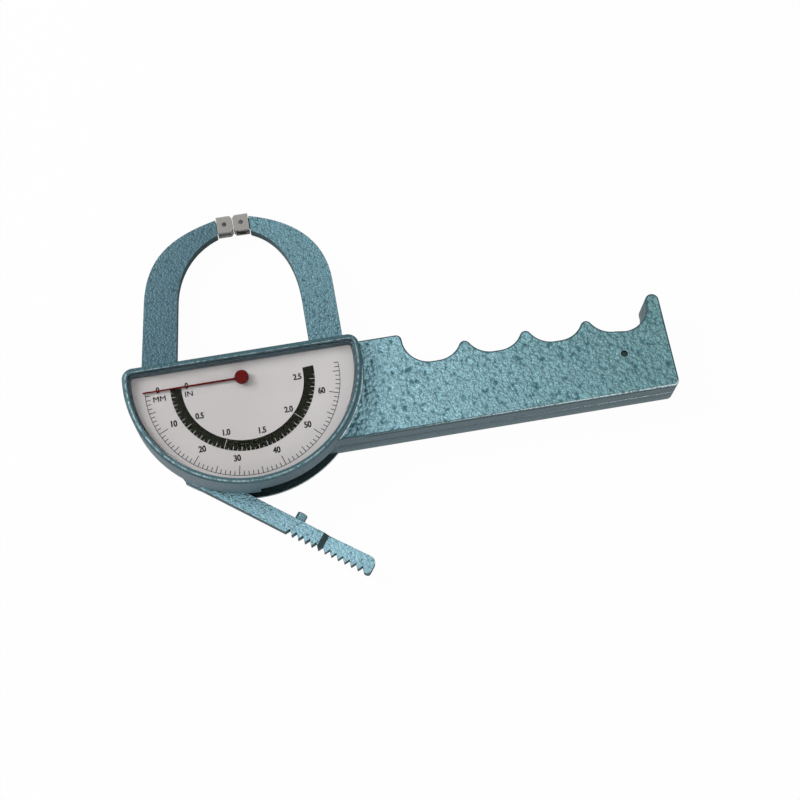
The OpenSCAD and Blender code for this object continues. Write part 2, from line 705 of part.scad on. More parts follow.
module idler_gear() color("goldenrod") translate([idler_at[0], idler_at[1], idler_z])
    linear_extrude(gear_top - idler_z) difference() {
        wheel(idler_teeth, idler_turn);
        circle(arbor_r + run_gap);
    }
module idler_stud() color("silver") translate([idler_at[0], idler_at[1], 0]) {
    head_t = 0.3;
    low = idler_z - side_gap - head_t;
    translate([0, 0, low]) cylinder(h = head_t, r = arbor_r + 0.9);
    translate([0, 0, low]) cylinder(h = bridge_z + bridge_t - low, r = arbor_r);
    translate([0, 0, gear_top + side_gap])
        cylinder(h = bridge_z - gear_top - side_gap, r = arbor_r + 0.9);
}
module arbor_pinion() color("goldenrod") translate([0, 0, pinion_z])
    linear_extrude(gear_top - pinion_z) difference() {
        wheel(pinion_teeth, pinion_turn);
        circle(arbor_r);
    }
bush_low = gear_top + side_gap;
dial_room = ledge_z - bridge_z - bridge_t;  // between the movement plate and the dial
bush_top = bridge_z + bridge_t + 0.48 * dial_room;
module arbor_bush() color("goldenrod") difference() {
    union() {
        translate([0, 0, bush_low]) cylinder(h = bush_top - bush_low, r = arbor_r + 2);
        translate([0, 0, bridge_z + bridge_t]) cylinder(h = 0.2 * dial_room, r = arbor_r + 3);
    }
    cylinder(h = far, r = arbor_r + run_gap);
}
needle_z = dial_z + 0.7;
cap_top = dial_z + 2.7;
module pointer_arbor() color("silver")
    translate([0, 0, pinion_z - 0.2]) cylinder(h = needle_z + 1 - pinion_z, r = arbor_r);
module arbor_collar() color("silver") translate([0, 0, bush_top + side_gap]) difference() {
    cylinder(h = 0.2 * dial_room, r = arbor_r + 1.4);
    translate([0, 0, -cut]) cylinder(h = far, r = arbor_r);
}
module pointer_needle() color("darkred") difference() {
    translate([0, 0, needle_z]) {
        linear_extrude(0.45) polygon([[0, -0.5], [0, 0.5], [-needle_len, 0.3],
                                      [-needle_len, -0.3]]);
        cylinder(h = 0.45, r = cap_r - 0.6);
    }
    cylinder(h = far, r = arbor_r);
}
module pointer_cap() color("darkred") difference() {
    translate([0, 0, needle_z + 0.45]) cylinder(h = cap_top - needle_z - 0.45, r = cap_r);
    cylinder(h = needle_z + 0.8, r = arbor_r);
}

// Plate that carries the gear train, on three arms
module movement_plate() color("tan") {
    hub = [-2, -9];
    hub_r = 16.5;
    difference() {
        translate([0, 0, bridge_z]) linear_extrude(bridge_t) {
            translate(hub) circle(hub_r);
            for (p = bridge_screw_at) {
                translate(p) circle(post_r);
                translate(hub) rotate([0, 0, atan2(p[1] - hub[1], p[0] - hub[0])])
                    translate([0, 0.5 - post_r]) square([norm(p - hub), 2 * post_r - 1]);
            }
        }
        for (p = bridge_screw_at) translate([p[0], p[1], 0])
            cylinder(h = far, r = bridge_screw_r + run_gap);
        translate([pivot[0], pivot[1], 0]) cylinder(h = far, r = pivot_r - 1 + run_gap);
        translate([idler_at[0], idler_at[1], 0]) cylinder(h = far, r = arbor_r);
        cylinder(h = far, r = arbor_r + 2);
    }
}

// ---------- dial ----------

dial_gap = 0.1;
module dial_plate() color("whitesmoke") translate([0, 0, dial_z - dial_t])
    linear_extrude(dial_t) difference() {
        case_outline(dial_in + dial_gap);
        circle(arbor_r + 0.6);
    }
module dial_lens() color("lightcyan", 0.3) translate([0, 0, lens_z])
    linear_extrude(lens_t) case_outline(lens_in + dial_gap);

// ---------- closing spring ----------

spring_moving_at = [-24, 3];
spring_fixed_at = [23, 3];
spring_z = mid_z - 0.2;
module spring_post(at, top, head_z) translate([at[0], at[1], 0]) {
    translate([0, 0, head_z]) cylinder(h = top - head_z, r = 1.2);
}
module spring_anchor() color("silver") translate([spring_fixed_at[0], spring_fixed_at[1], 0]) {
    translate([0, 0, floor_t + cut]) cylinder(h = arm_top - 0.3 - floor_t - cut, r = 1.2);
    translate([0, 0, mid_z + 1.2]) cylinder(h = 0.9, r = 2.4);
}
module spring_stud() color("silver")
    spring_post(spring_moving_at, arm_top, arm_z + 0.1);
module main_spring() color("gray") {
    wire_r = 0.4;
    loop_r = 1.2 + 0.25 + wire_r;
    span = spring_fixed_at[0] - spring_moving_at[0];
    lead = 7;                               // straight hook at each end of the coil
    translate([spring_moving_at[0], spring_moving_at[1], spring_z]) {
        for (x = [0, span]) translate([x, 0, 0])
            rotate_extrude($fn = 32) translate([loop_r, 0]) circle(wire_r, $fn = 16);
        for (x = [loop_r, span - lead]) translate([x, 0, 0]) rotate([0, 90, 0])
            cylinder(h = lead - loop_r, r = wire_r, $fn = 16);
        translate([lead - 0.4, 0, 0]) rotate([0, 90, 0])
            cylinder(h = span - 2 * lead + 0.8, r = spring_r);
    }
}

front_shell();
back_shell();
fixed_arm();
fixed_arm_screws();
case_screw();
handle_screws();
handle_rivet();
dial_plate();
dial_lens();
movement_plate();
movement_screws();
arbor_bush();
idler_stud();
arm_pivot_pin();
pivot_clip();
thrust_washer();
pivot_spacer();
spring_anchor();
main_spring();
moving_arm();
pivot_bush();
sector_gear();
sector_rivets();
spring_stud();
stop_peg();
fixed_tip_pin();
moving_tip_pin();
fixed_jaw_tip();
moving_jaw_tip();
pointer_arbor();
arbor_pinion();
arbor_collar();
pointer_needle();
pointer_cap();
idler_gear();
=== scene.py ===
"""A skinfold caliper lying on its back: a painted dial case with a finger-grooved handle,
a fixed arm, a spring-closed arm with a thumb lever, and a dial with a red pointer."""
import math

import bmesh
import bpy
import numpy as np
from mathutils import Matrix, Vector


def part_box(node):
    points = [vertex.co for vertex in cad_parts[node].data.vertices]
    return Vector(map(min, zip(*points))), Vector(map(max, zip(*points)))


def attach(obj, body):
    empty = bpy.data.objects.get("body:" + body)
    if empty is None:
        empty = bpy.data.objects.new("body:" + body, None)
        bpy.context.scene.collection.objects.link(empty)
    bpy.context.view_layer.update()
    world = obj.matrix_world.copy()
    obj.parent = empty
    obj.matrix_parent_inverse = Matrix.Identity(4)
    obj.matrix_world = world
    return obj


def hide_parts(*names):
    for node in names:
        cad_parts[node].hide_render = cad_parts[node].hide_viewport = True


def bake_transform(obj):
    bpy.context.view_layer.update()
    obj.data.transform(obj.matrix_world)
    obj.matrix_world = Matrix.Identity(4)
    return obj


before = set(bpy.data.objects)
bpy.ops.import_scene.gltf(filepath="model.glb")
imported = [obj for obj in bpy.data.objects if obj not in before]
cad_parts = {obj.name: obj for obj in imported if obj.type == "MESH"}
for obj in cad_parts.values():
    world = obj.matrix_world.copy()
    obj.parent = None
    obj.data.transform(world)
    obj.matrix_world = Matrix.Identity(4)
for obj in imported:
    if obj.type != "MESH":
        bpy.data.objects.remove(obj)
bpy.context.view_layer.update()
MM = 0.001

# ---------- Camera, floor and light ----------
# The photograph looks down on the caliper from over the handle's straight edge. The
# picture plane is square, and the lens is a moderate telephoto.

camera = bpy.data.objects.new("camera", bpy.data.cameras.new("camera"))
bpy.context.collection.objects.link(camera)
camera.location = (0.01821, -0.22608, 0.62365)
camera.rotation_euler = [math.radians(a) for a in (19.184, -0.929, -10.143)]
camera.data.lens = 67.5
camera.data.sensor_width = 36
camera.data.clip_start = 0.01
bpy.context.scene.camera = camera
bpy.context.scene.view_settings.view_transform = "Standard"


class Value:
    """A number on the surface. Arithmetic on it adds the Math nodes that work it out."""

    def __init__(self, paint, socket):
        self.paint, self.socket = paint, socket

    def math(self, operation, *others, first=None):
        values = [self if first is None else first, *others]
        node = self.paint.node("ShaderNodeMath", {"operation": operation}, *values)
        return Value(self.paint, node.outputs[0])

    def __add__(self, other):
        return self.math("ADD", other)

    def __sub__(self, other):
        return self.math("SUBTRACT", other)

    def __mul__(self, other):
        return self.math("MULTIPLY", other)

    def __truediv__(self, other):
        return self.math("DIVIDE", other)

    def __pow__(self, other):
        return self.math("POWER", other)

    def __rsub__(self, other):
        return self.math("SUBTRACT", self, first=other)

    __radd__ = __add__
    __rmul__ = __mul__

    def step(self, low, high):
        """0 below low, 1 above high, and a smooth rise between them."""
        node = self.paint.node(
            "ShaderNodeMapRange", {"interpolation_type": "SMOOTHSTEP"}, self, low, high)
        return Value(self.paint, node.outputs[0])


class Paint:
    """A material and its node tree, with its Principled shader ready."""

    def __init__(self, name):
        self.material = bpy.data.materials.new(name)
        self.material.use_nodes = True
        self.tree = self.material.node_tree
        self.shader = self.tree.nodes["Principled BSDF"]
        self.place = self.node("ShaderNodeTexCoord").outputs["Object"]

    def node(self, kind, settings=None, *values, **named):
        """Adds a node: its settings first, then the values or links of its sockets."""
        node = self.tree.nodes.new(kind)
        for key, value in (settings or {}).items():
            setattr(node, key, value)
        for key, value in [*enumerate(values), *named.items()]:
            self.put(node, key, value)
        return node

    def put(self, node, key, value):
        socket = node.inputs[key]
        if isinstance(value, Value):
            value = value.socket
        if isinstance(value, bpy.types.NodeSocket):
            self.tree.links.new(value, socket)
        else:
            socket.default_value = value

    def shade(self, **sockets):
        """Sets the shader's sockets, such as Base_Color for Base Color."""
        for key, value in sockets.items():
            if key.endswith("Color") and isinstance(value, tuple):
                value = (*value, 1)
            self.put(self.shader, key.replace("_", " "), value)

    def noise(self, size, detail=2.0, at=None, roughness=0.5):
        node = self.node("ShaderNodeTexNoise", {}, Vector=at or self.place,
                         Scale=1 / size, Detail=detail, Roughness=roughness)
        return Value(self, node.outputs["Fac"])

    def split(self, output):
        """X, Y and Z of the place on the surface (Object) or of its Normal."""
        place = self.node("ShaderNodeTexCoord").outputs[output]
        parts = self.node("ShaderNodeSeparateXYZ", {}, place)
        return [Value(self, part) for part in parts.outputs]

    def cells(self, size, at=None, smooth=0.3):
        """Distance to the nearest of scattered points, with rounded valleys."""
        node = self.node("ShaderNodeTexVoronoi", {"feature": "SMOOTH_F1"},
                         Vector=at or self.place, Scale=1 / size, Smoothness=smooth)
        return Value(self, node.outputs["Distance"])

    def wander(self, size, by):
        """The place on the surface, shifted about by noise."""
        noise = self.node("ShaderNodeTexNoise", {}, Vector=self.place, Scale=1 / size, Detail=1)
        centred = self.node("ShaderNodeVectorMath", {"operation": "SUBTRACT"},
                            noise.outputs["Color"], (0.5, 0.5, 0.5))
        scaled = self.node("ShaderNodeVectorMath", {"operation": "SCALE"},
                           centred.outputs[0], Scale=by)
        moved = self.node("ShaderNodeVectorMath", {"operation": "ADD"},
                          self.place, scaled.outputs[0])
        return moved.outputs[0]

    def blend(self, factor, low, high):
        """A colour between low and high."""
        low, high = [(*c, 1) if isinstance(c, tuple) else c for c in (low, high)]
        node = self.node("ShaderNodeMix", {"data_type": "RGBA"})
        self.put(node, 0, factor)
        self.put(node, 6, low)
        self.put(node, 7, high)
        return node.outputs[2]

    def bump(self, height, depth, strength=1.0):
        node = self.node("ShaderNodeBump", {}, Height=height, Distance=depth, Strength=strength)
        self.put(self.shader, "Normal", node.outputs[0])


def light(name, place, target, size, power, colour=(1, 1, 1)):
    """A square soft light at place, turned to face target."""
    lamp = bpy.data.lights.new(name, "AREA")
    lamp.size, lamp.energy, lamp.color = size, power, colour
    holder = bpy.data.objects.new(name, lamp)
    bpy.context.collection.objects.link(holder)
    holder.location = place
    aim = Vector(target) - Vector(place)
    holder.rotation_euler = aim.to_track_quat("-Z", "Y").to_euler()


light("window", (-0.75, 0.45, 0.75), (0.05, 0, 0), 0.5, 8)
light("bounce", (0.35, -0.9, 0.35), (0.05, 0, 0), 0.5, 3)

world = bpy.data.worlds.new("studio")
bpy.context.scene.world = world
world.use_nodes = True
sky = world.node_tree
paths = sky.nodes.new("ShaderNodeLightPath")
direct = sky.nodes.new("ShaderNodeMath")
direct.operation = "ADD"
sky.links.new(paths.outputs["Is Camera Ray"], direct.inputs[0])
sky.links.new(paths.outputs["Is Transmission Ray"], direct.inputs[1])
seen = sky.nodes.new("ShaderNodeMath")
seen.operation = "ADD"
seen.use_clamp = True
sky.links.new(direct.outputs[0], seen.inputs[0])
sky.links.new(paths.outputs["Is Glossy Ray"], seen.inputs[1])
strength = sky.nodes.new("ShaderNodeMapRange")
strength.inputs["To Min"].default_value = 0.35
strength.inputs["To Max"].default_value = 1.0
sky.links.new(seen.outputs[0], strength.inputs[0])
sky.links.new(strength.outputs[0], sky.nodes["Background"].inputs["Strength"])
sky.nodes["Background"].inputs["Color"].default_value = (1, 1, 1, 1)


def mesh_piece(name, vertices, faces, material, smooth=True):
    """An object at the origin from arrays of corners and faces."""
    mesh = bpy.data.meshes.new(name)
    mesh.from_pydata(np.asarray(vertices, float).tolist(), [], [list(f) for f in faces])
    mesh.polygons.foreach_set("use_smooth", [smooth] * len(mesh.polygons))
    mesh.materials.append(material)
    mesh.update()
    piece = bpy.data.objects.new(name, mesh)
    bpy.context.collection.objects.link(piece)
    return piece


floor_paint = Paint("floor")
half = 3.0
floor = mesh_piece("floor", [(-half, -half, -0.0003), (half, -half, -0.0003),
                             (half, half, -0.0003), (-half, half, -0.0003)],
                   [(0, 1, 2, 3)], floor_paint.material)
floor_paint.shade(Base_Color=(0.85, 0.85, 0.85), Roughness=0.9)
path = floor_paint.node("ShaderNodeLightPath")
glow = floor_paint.node("ShaderNodeEmission", {}, Strength=1.0)
share = Value(floor_paint, path.outputs["Is Camera Ray"]) * 0.975
mixed = floor_paint.node("ShaderNodeMixShader", {}, share,
                         floor_paint.shader.outputs[0], glow.outputs[0])
floor_paint.tree.links.new(mixed.outputs[0],
                           floor_paint.tree.nodes["Material Output"].inputs["Surface"])

# ---------- Castings ----------
# The two halves of the case and handle are die cast, and sprayed with a blue-green hammer
# enamel. It draws up into rounded cells and lies flatter on the walls. Its colours carry
# painted light and shade: painted shade in the hollows between the cells, on the rounded
# edges and on the walls, rim and inside, and painted highlights along edges and the rim.

case_middle = (0.7, 3)                      # middle of the case's arc
case_r = 51
case_top = 10.88                            # the case's straight upper side
handle_front = 18.4                         # height of the handle's front face
seam = 9.2                                  # height of the seam between the castings
plate_edge_top = 1.5                        # the back plate's own edge ends above this
rim_foot = 23                               # the rim's rounded outside starts here
painted_highlight = (0.60, 0.76, 0.80)                   # a painted highlight's colour, for edges and the walls' foot
painted_shade = (0.03, 0.075, 0.09)                  # painted shade's colour


def hammer_enamel(name, cell, depth, low, high, hollow_shade, relief=1.0, rough=0.5, glint=None,
                  shadow=None, axis=0, span=(0.05, 0.195)):
    """Enamel in rounded cells of a size. Painted light: its colour goes from high to low along
    an axis, over span, with a little random tone, and the colour given for the hollows
    between the cells is painted shade. glint gives where a painted highlight lies, and
    shadow where painted shade lies."""
    paint = Paint(name)
    where = paint.wander(cell * 1.2, cell * 0.6)
    coarse = paint.cells(cell, where)
    fine = paint.cells(cell * 0.55, where)
    dip = coarse * coarse * 0.6 + fine * fine * 0.4
    shaded_valley = dip.step(0.35, 0.68) * relief
    light_and_tone = paint.split("Object")[axis].step(*span) * 0.8 + paint.noise(0.04, 1) * 0.2
    # Painted light along the axis, and painted shade in the valleys between the cells.
    colour = paint.blend(shaded_valley, paint.blend(light_and_tone, high, low), hollow_shade)
    if glint:
        colour = paint.blend(glint(paint), colour, painted_highlight)
    if shadow:
        colour = paint.blend(shadow(paint), colour, painted_shade)
    paint.shade(Base_Color=colour, Metallic=0.5, Roughness=shaded_valley * 0.1 + rough)
    paint.bump(1 - dip, depth)
    return paint.material


def front_glint(paint):
    """Painted highlight on the upper part of an edge that faces the front, with breaks along
    it.
    """
    _, y, z = paint.split("Normal")
    broken = paint.noise(1.1 * MM, 2).step(0.25, 0.55)
    return z.step(0.35, 0.6) * (1 - z.step(0.99, 1.0)) * (0 - y).step(0.03, 0.12) * broken


def painted_shade_band(paint):
    """Painted shade: a dark band of the handle's wall just under the upper edge."""
    x, _, z = paint.split("Object")
    return (z.step(15.9 * MM, 16.7 * MM) * (1 - z.step(17.7 * MM, 18 * MM))
            * x.step(46 * MM, 50 * MM) * 0.9)


def painted_light_foot(paint):
    """Painted light: the walls paler towards their foot."""
    return (1 - paint.split("Object")[2].step(0, 8 * MM)) * 0.14


def ridge_glint(paint):
    """A painted highlight on the side of the rim's top that leans to the front, from the
    distance inside the case's outline: an arc about the case's middle, and a straight upper
    side."""
    x, y, _ = paint.split("Object")
    from_x, from_y = x - case_middle[0] * MM, y - case_middle[1] * MM
    radius = (from_x ** 2 + from_y ** 2) ** 0.5
    inside = (case_r * MM - radius).math("MINIMUM", case_top * MM - y)
    lean = from_y / (case_r * MM) + y.step(7 * MM, 9 * MM)
    off_line = (inside - lean * (0.6 * MM) - 1.5 * MM).math("ABSOLUTE")
    broken = paint.noise(1.6 * MM, 2).step(0.3, 0.7)
    return (1 - off_line.step(0.1 * MM, 0.5 * MM)) * broken * 0.5


# Painted light: the handle's faces are lighter near the case and darker towards the handle's
# end.
casting_enamel = hammer_enamel("casting_enamel", 2.3 * MM, 3.4 * MM, (0.135, 0.29, 0.305),
                               (0.31, 0.55, 0.63), (0.065, 0.205, 0.235))
# Darker copies of the casting enamel, as painted shade: for the walls (paler at the foot, with
# a dark band under the handle's edge), the rim's top (with a painted highlight on its ridge),
# the rim's slope, and the rounded edges (with painted highlights along front edges).
wall_enamel = hammer_enamel("wall_enamel", 1.6 * MM, 0.3 * MM, (0.13, 0.18, 0.20),
                            (0.14, 0.20, 0.23), (0.07, 0.12, 0.14), 0.5, 0.5, painted_light_foot,
                            painted_shade_band)
rim_enamel = hammer_enamel("rim_enamel", 1.3 * MM, 0.4 * MM, (0.035, 0.085, 0.10),
                           (0.045, 0.11, 0.13), (0.02, 0.05, 0.06), 0.6, 0.45, ridge_glint)
slope_enamel = hammer_enamel("slope_enamel", 1.2 * MM, 0.3 * MM, (0.045, 0.075, 0.09),
                             (0.055, 0.09, 0.11), (0.02, 0.04, 0.05), 0.6, 0.45)
edge_enamel = hammer_enamel("edge_enamel", 1.2 * MM, 0.3 * MM, (0.03, 0.09, 0.10),
                            (0.04, 0.11, 0.13), (0.01, 0.04, 0.05), 0.6, 0.45, front_glint)
# Painted shade: near-black enamel for the inside of the case, the lever's step and the rivet's
# pit.
painted_shade_enamel = hammer_enamel("painted_shade_enamel", 1.4 * MM, 0.2 * MM, (0.02, 0.04, 0.045),
                             (0.02, 0.045, 0.05), (0.01, 0.02, 0.02), 0.5, 0.5)


def edge_shares(mesh, planes, normals):
    """Each edge's share of the rounding: that of its plane, where it is a real corner, and
    less on the short edges round a small hole. Flat edges are marked as not sharp."""
    places = np.zeros(len(mesh.vertices) * 3)
    mesh.vertices.foreach_get("co", places)
    pairs = np.zeros(len(mesh.edges) * 2, int)
    mesh.edges.foreach_get("vertices", pairs)
    ends = places.reshape(-1, 3)[pairs.reshape(-1, 2)] / MM
    share = np.zeros(len(ends))
    for height, width in planes:
        share[np.abs(ends[:, :, 2] - height).max(1) < 0.01] = width
    # The two faces' normals add up to nearly 2 where an edge is flat.
    sides, loop_edges = np.zeros(len(normals), int), np.zeros(len(mesh.loops), int)
    mesh.polygons.foreach_get("loop_total", sides)
    mesh.loops.foreach_get("edge_index", loop_edges)
    sums = np.zeros((len(ends), 3))
    np.add.at(sums, loop_edges, np.repeat(normals, sides, axis=0))
    corner = np.linalg.norm(sums, axis=1) < 1.93
    short = np.linalg.norm(ends[:, 0] - ends[:, 1], axis=1) < 0.35
    mesh.edges.foreach_set("use_edge_sharp", corner)
    return share * np.where(short, 0.2, 1) * corner


def dressed(node, body, materials, edge, pick=None, steps=3, angle=30, edge_material=-1,
            planes=()):
    """A copy of a solid with its loose triangles joined and its sharp edges rounded. pick
    gives each face's place in materials from the faces' centres and normals. planes are
    heights whose edges alone are rounded, each with its share of the edge's width."""
    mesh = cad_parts[node].data.copy()
    grid = bmesh.new()
    grid.from_mesh(mesh)
    bmesh.ops.remove_doubles(grid, verts=grid.verts, dist=1e-6)
    bmesh.ops.dissolve_limit(grid, angle_limit=math.radians(0.4), verts=grid.verts,
                             edges=grid.edges)
    grid.to_mesh(mesh)
    grid.free()
    mesh.materials.clear()
    for material in materials:
        mesh.materials.append(material)
    count = len(mesh.polygons)
    index = np.zeros(count, int)
    centres, normals = np.zeros((2, count * 3))
    mesh.polygons.foreach_get("center", centres)
    mesh.polygons.foreach_get("normal", normals)
    if pick:
        index = pick(centres.reshape(-1, 3) / MM, normals.reshape(-1, 3))
    mesh.polygons.foreach_set("material_index", index)
    mesh.polygons.foreach_set("use_smooth", [True] * count)
    mesh.set_sharp_from_angle(angle=math.radians(angle))
    piece = bpy.data.objects.new(node + "_shape", mesh)
    bpy.context.collection.objects.link(piece)
    rounding = piece.modifiers.new("edges", "BEVEL")
    rounding.width, rounding.segments = edge * MM, steps
    rounding.limit_method, rounding.angle_limit = "ANGLE", math.radians(angle)
    rounding.use_clamp_overlap = not planes
    if planes:
        share = edge_shares(mesh, planes, normals.reshape(-1, 3))
        weights = mesh.attributes.new("bevel_weight_edge", "FLOAT", "EDGE")
        weights.data.foreach_set("value", share)
        rounding.limit_method = "WEIGHT"
    rounding.harden_normals = True
    rounding.material = edge_material
    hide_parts(node)
    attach(piece, body)
    return piece


def casting_faces(centres, normals):
    """0 on the handle's faces, 1 on walls, 2 on the rim's top and rounded outside, 4 on
    its slope, 5 inside, and 6 on the edge of the back plate. The paints on the walls, the
    rim, its slope and inside carry painted shade, and the one on the back plate's edge a
    painted highlight."""
    height, up = centres[:, 2], normals[:, 2]
    upright = np.abs(up) < 0.5
    outwards = (normals[:, :2] * (centres[:, :2] - case_middle)).sum(1) > 1
    high = height > handle_front + 0.5
    index = np.where(upright, 1, 0)
    index[(height > 0.5) & (height < handle_front - 0.4) & ~upright] = 5
    index[upright & (height < plate_edge_top)] = 6
    index[high & ~outwards] = 4
    index[high & (outwards | (up > 0.99)) & ~(upright & (height < rim_foot))] = 2
    return index


# Painted highlight: a pale copy of the enamel for the back plate's edge.
painted_lit_lip = hammer_enamel("painted_lit_lip", 1.2 * MM, 0.2 * MM, (0.55, 0.66, 0.70),
                           (0.60, 0.72, 0.76), (0.25, 0.35, 0.40), 0.5)
castings = [casting_enamel, wall_enamel, rim_enamel, edge_enamel, slope_enamel, painted_shade_enamel,
            painted_lit_lip]
rounded = ((handle_front, 1), (seam, 0.35), (0, 0.6))
for node in ("front_shell", "back_shell"):
    dressed(node, "frame", castings, 0.8, casting_faces, steps=4,
            edge_material=castings.index(edge_enamel), planes=rounded)

# ---------- Arms and lever ----------
# The arms are flat steel plates, cut out and sprayed with the same enamel in a thin coat,
# so their cells are smaller. The thumb lever is part of the moving arm, and a painted peg
# stands in its upper edge.

plate_enamel = hammer_enamel("plate_enamel", 1.2 * MM, 1.0 * MM, (0.14, 0.28, 0.33),
                             (0.14, 0.28, 0.33), (0.04, 0.11, 0.135), 0.8)
# Painted light: the moving arm's enamel is lighter on the thumb lever and darker up the arm.
lever_enamel = hammer_enamel("lever_enamel", 1.2 * MM, 0.7 * MM, (0.052, 0.118, 0.148),
                             (0.29, 0.51, 0.59), (0.035, 0.085, 0.105), 0.6, axis=1,
                             span=(-0.05, 0))
# Painted shade: a darker copy of the enamel for the plates' cut edges.
plate_edge = hammer_enamel("plate_edge", 0.9 * MM, 0.2 * MM, (0.04, 0.085, 0.10),
                           (0.04, 0.085, 0.10), (0.03, 0.06, 0.08), 0.6)
peg_enamel = hammer_enamel("peg_enamel", 1.2 * MM, 0.2 * MM, (0.16, 0.30, 0.35),
                           (0.16, 0.30, 0.35), (0.06, 0.15, 0.18), 0.6, 0.28)


def plate_faces(centres, normals):
    """0 on a plate's faces, 1 on its edges, and 2 on the steep side of the lever's step. The
    edges and the step are painted with shade.
    """
    up = np.abs(normals[:, 2])
    return np.where(up < 0.6, 1, np.where(up < 0.9, 2, 0))


dressed("fixed_arm", "frame", [plate_enamel, plate_edge], 0.3, plate_faces,
        edge_material=1)
dressed("moving_arm", "arm", [lever_enamel, plate_edge, painted_shade_enamel], 0.3,
        plate_faces, edge_material=1)
dressed("stop_peg", "arm", [peg_enamel], 0.5)

# ---------- Dial ----------
# The dial is a pale lacquered metal plate. Its scales are screen printed in dark ink:
# millimetres on the outer arc, and inches in white on a dark band.

dial_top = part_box("dial_plate")[1].z / MM
lacquer = Paint("dial_lacquer")
# Painted light: the lacquer is lighter towards the right, with a random mottle over it.
light_and_mottle = lacquer.split("Object")[0].step(-0.01, 0.05) * 0.7 + lacquer.noise(0.03, 2) * 0.3
lacquer.shade(
    Base_Color=lacquer.blend(light_and_mottle, (0.285, 0.272, 0.269), (0.36, 0.347, 0.343)),
    Roughness=lacquer.noise(0.0008, 1) * 0.08 + 0.42)
lacquer.bump(lacquer.noise(0.0004, 2), 0.004 * MM)
dressed("dial_plate", "frame", [lacquer.material], 0.1)


def ink(name, colour):
    paint = Paint(name)
    patches = paint.noise(0.0012, 3)
    paint.shade(Base_Color=paint.blend(patches, tuple(0.8 * c for c in colour),
                                       tuple(1.2 * c for c in colour)),
                Roughness=0.5, Specular_IOR_Level=0.03)
    paint.bump(patches, 0.003 * MM)
    return paint.material


dark_ink = ink("dark_ink", (0.012, 0.012, 0.013))
band_ink = ink("band_ink", (0.005, 0.006, 0.003))
white_ink = ink("white_ink", (0.36, 0.35, 0.34))
print_t = 0.03
scale_r = 41.6                              # outer ends of the millimetre ticks
band_r = (26.1, 30.9)
print_y = -1.6                              # the print's middle lies below the hub
zero_at = 176.9                             # the zero's angle in degrees
per_mm = 2.775                              # degrees for each millimetre of opening
scale_end = 67


def printed(name, corners, faces, material, layer=1):
    """A flat print on the dial from its corners (x, y) in millimetres. layer counts coats
    of ink, for all the corners or for each."""
    corners = np.asarray(corners, float) + (0, print_y)
    height = np.zeros((len(corners), 1)) + dial_top + print_t * np.reshape(layer, (-1, 1))
    piece = mesh_piece(name, np.hstack([corners, height]) * MM, faces, material, smooth=False)
    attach(piece, "frame")
    return piece


def quads(count):
    """Faces of a run of separate four-cornered patches."""
    return np.arange(4 * count).reshape(count, 4)


def dial_angle(mm):
    """A reading's angle about the print's middle, turning from -X through -Y."""
    return np.radians(zero_at + per_mm * np.asarray(mm, float))


def ticks(readings, outer, lengths, width):
    """Thin rectangles that point at the hub, from radius outer inwards."""
    a = dial_angle(readings)
    along = np.stack([np.cos(a), np.sin(a)], 1)
    across = np.stack([-np.sin(a), np.cos(a)], 1) * width / 2
    out, low = along * outer, along * (outer - np.asarray(lengths))[:, None]
    return np.stack([out - across, low - across, low + across, out + across], 1).reshape(-1, 2)


def arc_band(inner, outer, start, end, steps=180):
    """A strip between two radii, as a grid of angle by radius."""
    a = np.linspace(dial_angle(start), dial_angle(end), steps + 1)
    rays = np.stack([np.cos(a), np.sin(a)], 1)
    corners = np.concatenate([rays * inner, rays * outer])
    low = np.arange(steps)
    return corners, np.stack([low, low + steps + 1, low + steps + 2, low + 1], 1)


millimetres = np.arange(scale_end + 1)
long = np.where(millimetres % 10 == 0, 4.3, np.where(millimetres % 5 == 0, 2.9, 1.9))
printed("millimetre_ticks", ticks(millimetres, scale_r, long, 0.34), quads(len(millimetres)),
        dark_ink)
printed("scale_arc", *arc_band(scale_r - 0.13, scale_r + 0.13, 0, scale_end), dark_ink)
inch = 25.4
inch_end = 67.6
printed("inch_band", *arc_band(*band_r, 0, inch_end), band_ink)
twentieths = np.arange(1, 52)
long = np.select([twentieths % 20 == 0, twentieths % 10 == 0, twentieths % 2 == 0],
                 [4.4, 2.4, 1.9], 0.9)
printed("inch_ticks", ticks(twentieths * inch / 20, band_r[1], long, 0.17),
        quads(len(twentieths)), white_ink, 2)


def figures(name, words, height, material, bold=0.03, width=0.8):
    """Numbers and units as flat print: each word with its centre from the hub. The
    outlines of the letters are filled flat, and a little offset makes them bold. Each word
    is struck twice, side by side, which makes its strokes wider still."""
    corners, faces, layers, start = [], [], [], 0
    for word, (x, y) in words:
        curve = bpy.data.curves.new(name, "FONT")
        curve.body, curve.offset = word, bold
        curve.align_x, curve.align_y = "CENTER", "CENTER"
        holder = bpy.data.objects.new(name, curve)
        bpy.context.collection.objects.link(holder)
        bpy.context.view_layer.update()
        letters = bpy.data.meshes.new_from_object(
            holder.evaluated_get(bpy.context.evaluated_depsgraph_get()))
        flat = np.zeros(len(letters.vertices) * 3)
        letters.vertices.foreach_get("co", flat)
        flat = flat.reshape(-1, 3)[:, :2]
        flat -= (flat.min(0) + flat.max(0)) / 2
        flat *= height / np.ptp(flat[:, 1]) * np.array((width, 1))
        for strike, shift in enumerate((-0.07, 0.07)):
            corners.append(flat + (x + shift, y - print_y))
            layers.append(np.full(len(flat), 1 + 0.3 * strike))
            faces += [[start + v for v in face.vertices] for face in letters.polygons]
            start += len(flat)
        bpy.data.objects.remove(holder)
    printed(name, np.concatenate(corners), faces, material, np.concatenate(layers))


def on_arc(reading, radius):
    a = dial_angle(reading)
    return radius * math.cos(a), radius * math.sin(a) + print_y


